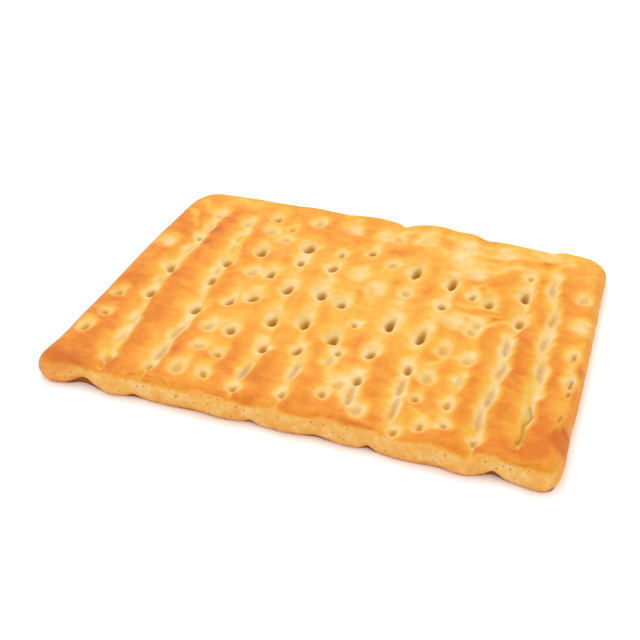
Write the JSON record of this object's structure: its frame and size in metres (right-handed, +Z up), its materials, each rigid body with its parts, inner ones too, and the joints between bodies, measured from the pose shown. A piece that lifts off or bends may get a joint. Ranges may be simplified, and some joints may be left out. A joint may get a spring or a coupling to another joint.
{
  "type": "focaccia",
  "caption": "Whole rectangular sheet of flatbread with rounded corners, a crust pressed in by rows of fingertip pokes and furrows, and a flat underside it rests on.",
  "frame": {"origin": "centre of the bounding box in plan, on the surface the sheet rests on", "axes": "+X along the long side to the right, +Y from the front edge to the back edge, +Z up out of the crust"},
  "size_m": [0.4099, 0.3178, 0.0232],
  "materials": {
    "baked_crust": "oven-browned crust with a light film of oil"
  },
  "bodies": {
    "root": {"focaccia": "baked_crust"}
  },
  "joints": []
}
